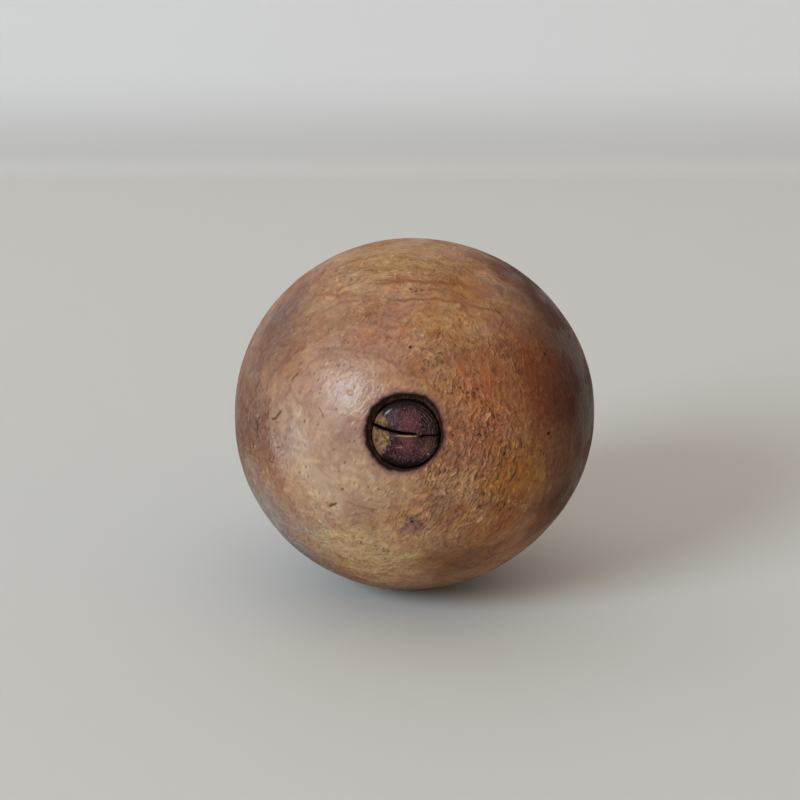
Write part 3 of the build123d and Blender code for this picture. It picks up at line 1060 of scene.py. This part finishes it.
def mouth_dirt_and_shade(g, colour, fine):
    """A purple-pink halo outside the mouth's rim, a dark rim and sloping wall that are partly dirt and
    partly painted shade in the groove, and painted black shade down the hidden bore.
    """
    gap = g.mark("from_mouth")
    gap = g.calc("ADD", gap, g.scaled(g.ripple[0], 0.5, -0.25))
    wall = g.mix(g.fade(fine, 0.40, 0.60), paint(38, 20, 12), paint(82, 52, 36))
    colour = g.mix(g.fade(gap, 1.2, 0.1, 0.0, 0.65), colour, paint(112, 66, 74))
    colour = g.mix(g.fade(gap, 0.36, -0.06), colour, paint(32, 14, 8))
    colour = g.mix(g.fade(gap, -0.30, -0.75), colour, wall)
    return g.mix(g.fade(gap, -1.45, -1.95), colour, paint(10, 6, 5)), gap


def worn_wood(effects):
    """The ball: faded, stained and worn wood, rubbed smooth by the plug and open-grained at the right."""
    g = BallWood(effects)
    colour = growth_lines(g, stained(g, ground_colour(g)))
    colour, fine, worn = raised_grain(g, colour)
    colour, nick, chip, pore, mark = small_marks(g, colour)
    colour, gap = mouth_dirt_and_shade(g, colour, fine)
    rough = g.scaled(g.fade(g.open_grain, 0.05, 0.5), GRAIN_ROUGHNESS, BASE_ROUGHNESS)
    rough = g.scaled(g.spot(SHEEN, 15.0, 0.9, g.point), -SHEEN_GLOSS, rough)
    rough = g.scaled(g.calc("SUBTRACT", fine, 0.5), 0.2, rough)
    rough = g.larger(rough, g.fade(gap, 0.6, 0.1, 0.0, 0.9))
    rough = g.larger(rough, g.times(g.larger(mark, nick), 0.95))
    grit = g.soft_noise(g.stretch(g.point, 3.2), 2.0)[0]
    raised = g.times(g.fade(fine, 0.34, 0.64), g.scaled(worn, RIDGE_BUMP, SMOOTH_BUMP))
    raised = g.scaled(pore, -PORE_BUMP, raised)
    raised = g.scaled(g.calc("SUBTRACT", chip, nick), CHIP_BUMP, raised)
    return g.complete(colour, rough, g.scaled(grit, GRIT_BUMP, raised), BALL_SPECULAR)


# Stains on the plug's end, with a painted sheen and painted shade among them: millimetres to the right and
# up, radius, softness, strength and colour.
END_STAINS = {
    # A painted sheen where the dome faces the key lamp.
    "upper_left_painted_sheen": (-2.7, 3.3, 2.2, 0.8, 0.95, (78, 58, 72)),
    "upper_middle": (0.7, 2.2, 3.0, 0.7, 0.90, (98, 56, 54)),
    "lower_middle": (0.0, -1.6, 2.4, 0.7, 0.90, (108, 60, 60)),
    "bottom": (0.4, -3.6, 2.2, 0.8, 0.60, (80, 44, 50)),
    # Partly dark stain, partly painted shade where the dome turns away from the key lamp.
    "upper_right": (3.9, 2.4, 2.2, 0.7, 0.85, (34, 22, 22)),
    "lower_right": (4.2, -2.8, 2.8, 0.8, 0.80, (92, 64, 50)),
}

# The bare wood on the plug's end, in three parts: millimetres to the right and up, radius, softness.
BARE_PARTS = ((-4.9, -0.9, 2.4, 0.35), (-4.6, 2.4, 1.5, 0.4), (-4.9, -2.9, 1.2, 0.4))
KNOT = (-1.2, -1.5, 0.0)


class EndGrain(Wood):
    """Nodes of the plug's material. Its points lie flat on the plug's end."""

    def __init__(self, effects):
        super().__init__("stained end grain", effects)
        self.x, self.y = (self.move("DOT_PRODUCT", self.point, way) for way in (PLUG_RIGHT, PLUG_UP))
        self.flat = self.cloud_point = self.add("CombineXYZ", {0: self.x, 1: self.y, 2: 0.0}).outputs[0]
        self.away = self.move("LENGTH", self.flat)
        drawn = self.soft_noise(self.stretch(self.flat, 1.2), 3.0)
        self.ragged = self.move("ADD", self.flat, self.shift(drawn, 1.6))
        self.edge_noise = self.scaled(drawn[0], 1.4, -0.7)
        self.grain = self.streaks(self.ragged, unit((0.12, 1.0, 0.0)), 0.8, 0.26, 2.0)

    def spot(self, across, up, radius, soft):
        """A soft ragged patch about a place on the plug's end."""
        return self.patch(self.ragged, (across, up, 0.0), radius, soft)

    def stroke(self, value, middle, outer, inner):
        """1 where the value is less than inner away from the middle, and 0 from outer on."""
        return self.fade(self.calc("ABSOLUTE", self.calc("SUBTRACT", value, middle)), outer, inner)


def purple_stain(g):
    """Purple-black stain, redder in the middle, over fine upright grain."""
    colour = g.mix(g.cloud(1.2, 0.40, 0.62, (0, 0, 2)), paint(46, 26, 30), paint(70, 40, 46))
    for across, up, radius, soft, strength, tone in END_STAINS.values():
        colour = g.tint(colour, g.spot(across, up, radius, soft), strength, paint(*tone))
    colour = g.tint(colour, g.fade(g.grain, 0.53, 0.68), 0.45, paint(160, 118, 118))
    return g.tint(colour, g.fade(g.grain, 0.47, 0.33), 0.65, paint(26, 14, 17))


def turned_ridges_lit_pale(g):
    """A mask of the turned rings at the right and lower right, painted pale as light catching their ridges.
    """
    from_middle = g.add("CombineXYZ", {0: g.away}).outputs[0]
    layers, outwards = g.effects["layers"], (1.0, 0.0, 0.0)
    line = g.use(layers, Point=from_middle, Across=outwards, Spacing=0.50, Wander=0.10, Shift=0.2)[0]
    at_right = g.times(g.fade(g.x, 1.0, 3.6), g.fade(g.away, 3.6, 4.6))
    return g.times(g.times(line, at_right), g.cloud(0.8, 0.40, 0.60, (5, 2, 1)))


def bare_wood(g, colour):
    """The bare wood at the left, ochre with dark flecks, and its mask."""
    bare = 0.0
    for part in BARE_PARTS:
        bare = g.larger(bare, g.spot(*part))
    bare = g.times(bare, g.fade(g.calc("ADD", g.x, g.times(g.grain, 0.9)), -2.1, -2.7))
    tone = g.mix(g.cloud(0.8, 0.36, 0.62, (3, 3, 0)), paint(98, 66, 36), paint(158, 124, 84))
    tone = g.tint(tone, g.fade(g.grain, 0.48, 0.34), 0.75, paint(64, 38, 18))
    tone = g.tint(tone, g.spot(-4.4, -2.6, 1.3, 0.8), 0.60, paint(164, 122, 104))
    return g.mix(bare, colour, tone), bare


def edge_marks(g, colour, bare, rings):
    """Dark dirt round the end, partly painted shade at its edge, the turned rings painted pale as light,
    a pink-brown left edge partly painted as lit, and painted glints.
    """
    dirt_and_shade_strength = g.scaled(g.spot(4.5, -3.4, 3.4, 0.7), -0.75, g.scaled(bare, -0.75, 0.95))
    # Dark dirt round the end's edge, partly painted shade where it drops into the groove.
    edge_dirt_and_shade = g.fade(g.calc("ADD", g.away, g.edge_noise), 4.6, 5.7)
    colour = g.tint(colour, edge_dirt_and_shade, dirt_and_shade_strength, paint(26, 14, 10))
    # The turned rings painted pale, as light on their ridges.
    colour = g.tint(colour, rings, 0.90, paint(150, 118, 90))
    # A pink-brown edge at the left, partly painted light on the rounded rim.
    at_left = g.times(g.fade(g.x, -3.0, -4.5), g.fade(g.calc("ABSOLUTE", g.y), 4.6, 3.4))
    partly_lit_left_edge = g.times(g.fade(g.away, 5.75, 5.9), g.fade(g.away, 6.15, 6.3, 1.0, 0.0))
    colour = g.tint(colour, g.times(partly_lit_left_edge, at_left), 0.70, paint(124, 88, 80))
    # Painted glints: a pale arc on the upper left rim and two small highlight spots.
    painted_rim_glint = g.times(g.stroke(g.away, 5.35, 0.24, 0.08), g.spot(-3.3, 4.1, 1.2, 0.8))
    colour = g.tint(colour, g.times(painted_rim_glint, g.fade(g.grain, 0.35, 0.55)), 0.85, paint(176, 170, 172))
    painted_glint_spots = g.larger(g.spot(2.5, 3.65, 0.34, 0.9), g.spot(4.1, -3.5, 0.42, 0.9))
    return g.tint(colour, painted_glint_spots, 0.85, paint(206, 198, 196))


def crack_marks(g, colour):
    """A small knot, dirt round the crack, a pink scratch, a pale lip below the crack that is partly
    worn and partly painted light, pores, and painted shade filling the crack.
    """
    from_knot = g.move("DISTANCE", g.ragged, KNOT)
    knot = g.times(g.fade(from_knot, 0.20, 0.34), g.fade(from_knot, 0.50, 0.68, 1.0, 0.0))
    colour = g.tint(colour, g.larger(knot, g.spot(-1.7, -1.0, 0.9, 0.9)), 0.75, paint(34, 18, 18))
    near_crack = g.mark("near_crack")
    colour = g.tint(colour, near_crack, 0.85, paint(26, 14, 10))
    scratch = g.times(g.stroke(g.y, -2.35, 0.16, 0.04), g.spot(-1.2, -2.35, 0.8, 0.6))
    colour = g.tint(colour, scratch, 0.60, paint(170, 124, 114))
    # A pale lip below the crack: partly worn edge, partly painted light catching it.
    pale_lip_partly_lit = g.stroke(g.scaled(g.edge_noise, 0.32, g.y), -0.18, 0.20, 0.04)
    pale_lip_partly_lit = g.times(pale_lip_partly_lit, g.times(g.fade(g.x, -2.6, -1.0), g.fade(g.x, 1.6, 2.2, 1.0, 0.0)))
    colour = g.tint(colour, pale_lip_partly_lit, 0.85, paint(172, 142, 108))
    pore = g.scattered(g.flat, (0.0, 1.0, 0.0), 0.5, 0.4, 0.25, 0.3)
    colour = g.tint(colour, pore, 0.5, paint(24, 14, 14))
    # The crack's inside painted near black as shade.
    return g.mix(g.mark("in_crack_painted_dark"), colour, paint(12, 8, 7))


def stained_end_grain(effects):
    """The plug: purple-black stain over end grain, worn to bare ochre wood at its left side."""
    g = EndGrain(effects)
    rings = turned_ridges_lit_pale(g)
    colour, bare = bare_wood(g, purple_stain(g))
    colour = crack_marks(g, edge_marks(g, colour, bare, rings))
    raised = g.times(g.calc("SUBTRACT", g.grain, 0.5), 0.16)
    return g.complete(colour, g.scaled(bare, 0.10, 0.50), g.scaled(rings, 0.05, raised), END_SPECULAR)


# Studio. A pale sheet that turns up behind the ball, two lamps and an even surround.
FLOOR_COLOUR = paint(212, 210, 206)
# A painted darker band of shade where the floor turns up into the wall.
COVE_SHADE_COLOUR = paint(201, 199, 199)
WALL_COLOUR = paint(230, 228, 229)
WALL_AT = 306.0
COVE_RADIUS = 26.0
STAGE_HALF_WIDTH = 16000.0
STAGE_FRONT = -16000.0
WALL_HEIGHT = 4000.0
COVE_STEPS = 10
STAGE_ROUGHNESS, STAGE_SPECULAR = 0.6, 0.2
# Heights over the floor between which its colour turns into the cove's painted shade, and that into the
# wall's.
TO_COVE_SHADE = (0.1, 5.0)
TO_WALL = (6.0, 30.0)

# Lamps: where the light comes from, distance, width, level and colour.
KEY_LAMP = ((-0.666, -0.579, 0.469), 3200.0, 1400.0, 0.605, (0.82, 1.0, 1.16))
TOP_LAMP = ((0.18, 0.12, 1.0), 2400.0, 2000.0, 0.06, (1.15, 1.0, 0.82))
FILL_LEVEL = 0.39
FILL_COLOUR = (1.20, 1.0, 0.74, 1.0)
SURROUND_COLOUR = paint(205, 206, 209)


def stage_material():
    """Matt pale stage: floor colour below, a painted band of shade in the cove, wall colour above, and clear
    from behind the wall.
    """
    material, g = new_material("studio surface")
    height = g.add("SeparateXYZ", {0: g.stretch(g.add("TexCoord").outputs["Object"], 1 / MM)}).outputs[2]
    floor = -BALL_SHORT_DIAMETER / 2
    floor_and_cove_shade = g.mix(g.fade(height, floor + TO_COVE_SHADE[0], floor + TO_COVE_SHADE[1]), FLOOR_COLOUR, COVE_SHADE_COLOUR)
    colour = g.mix(g.fade(height, floor + TO_WALL[0], floor + TO_WALL[1]), floor_and_cove_shade, WALL_COLOUR)
    inputs = {"Base Color": colour, "Roughness": STAGE_ROUGHNESS, "Specular IOR Level": STAGE_SPECULAR}
    matt, clear = g.add("BsdfPrincipled", inputs), g.add("BsdfTransparent")
    behind = g.add("NewGeometry").outputs["Backfacing"]
    choice = g.add("MixShader", {0: behind, 1: matt.outputs[0], 2: clear.outputs[0]})
    g.add("OutputMaterial", {"Surface": choice.outputs[0]})
    return material


def build_stage(floor_height):
    """Floor, cove and wall as one sheet, left out of the object's bodies."""
    profile = [(STAGE_FRONT, floor_height), (0.0, floor_height)]
    for step in range(COVE_STEPS + 1):
        turn = math.pi / 2 * step / COVE_STEPS
        back, rise = COVE_RADIUS * math.sin(turn), COVE_RADIUS * (1 - math.cos(turn))
        profile.append((WALL_AT + back, floor_height + rise))
    profile.append((WALL_AT + COVE_RADIUS, WALL_HEIGHT))
    points = [(side * STAGE_HALF_WIDTH * MM, y * MM, z * MM) for side in (-1, 1) for y, z in profile]
    count = len(profile)
    faces = [(i, count + i, count + i + 1, i + 1) for i in range(count - 1)]
    mesh = bpy.data.meshes.new("studio_stage")
    mesh.from_pydata(points, [], faces)
    mesh.polygons.foreach_set("use_smooth", [True] * len(faces))
    mesh.materials.append(stage_material())
    stage = bpy.data.objects.new("studio_stage", mesh)
    bpy.context.scene.collection.objects.link(stage)


def soft_lamp(name, source, distance, width, level, tint):
    """A round area lamp that lights a surface facing it to its level."""
    lamp = bpy.data.lights.new(name, "AREA")
    lamp.shape = "DISK"
    lamp.size = width * MM
    lamp.energy = level * (math.pi * distance * MM) ** 2
    lamp.color = tint
    made = bpy.data.objects.new(name, lamp)
    source = Vector(unit(source))
    made.location = source * distance * MM
    made.rotation_mode = "QUATERNION"
    made.rotation_quaternion = source.to_track_quat("Z", "Y")
    made.visible_camera = False
    bpy.context.scene.collection.objects.link(made)


def light_stage():
    """A cool key lamp at the front left, a warm one overhead, and an even pale surround."""
    soft_lamp("key lamp", *KEY_LAMP)
    soft_lamp("top lamp", *TOP_LAMP)
    world = bpy.data.worlds.new("surround")
    world.use_nodes = True
    world.node_tree.nodes.clear()
    g = Nodes(world.node_tree)
    rays = g.add("LightPath").outputs
    mirrored = g.larger(rays["Is Glossy Ray"], rays["Is Transmission Ray"])
    seen = g.larger(rays["Is Camera Ray"], mirrored)
    level = g.scaled(seen, 1.0 - FILL_LEVEL, FILL_LEVEL)
    colour = g.mix(seen, FILL_COLOUR, SURROUND_COLOUR)
    surround = g.add("Background", {"Color": colour, "Strength": level})
    g.add("OutputWorld", {"Surface": surround.outputs[0]})
    bpy.context.scene.world = world


def place_camera():
    """The camera at the photograph's viewing angle, aimed so that the ball falls where it does there."""
    lens = bpy.data.cameras.new("camera")
    lens.lens = CAMERA_LENS
    lens.sensor_width = CAMERA_SENSOR
    lens.clip_start, lens.clip_end = CAMERA_CLIP
    camera = bpy.data.objects.new("camera", lens)
    place = SEEN_UP * AIM_UP - SEEN_RIGHT * AIM_LEFT + SEEN_TOWARD * CAMERA_DISTANCE
    camera.location = Vector(place) * MM
    camera.rotation_euler = (math.radians(90 - CAMERA_RISE), 0.0, 0.0)
    bpy.context.scene.collection.objects.link(camera)
    bpy.context.scene.camera = camera


place_camera()
effects = {
    "fibres": fibre_group(), "clouds": cloud_group(), "patch": patch_group(), "layers": layer_group(),
    "line": line_group(), "pores": pore_group(),
}
ball = build_ball(worn_wood(effects))
build_plug(stained_end_grain(effects))
lowest = min(vertex.co.z for vertex in ball.data.vertices)
build_stage(lowest / MM)
light_stage()
bpy.context.scene.view_settings.view_transform = "Standard"
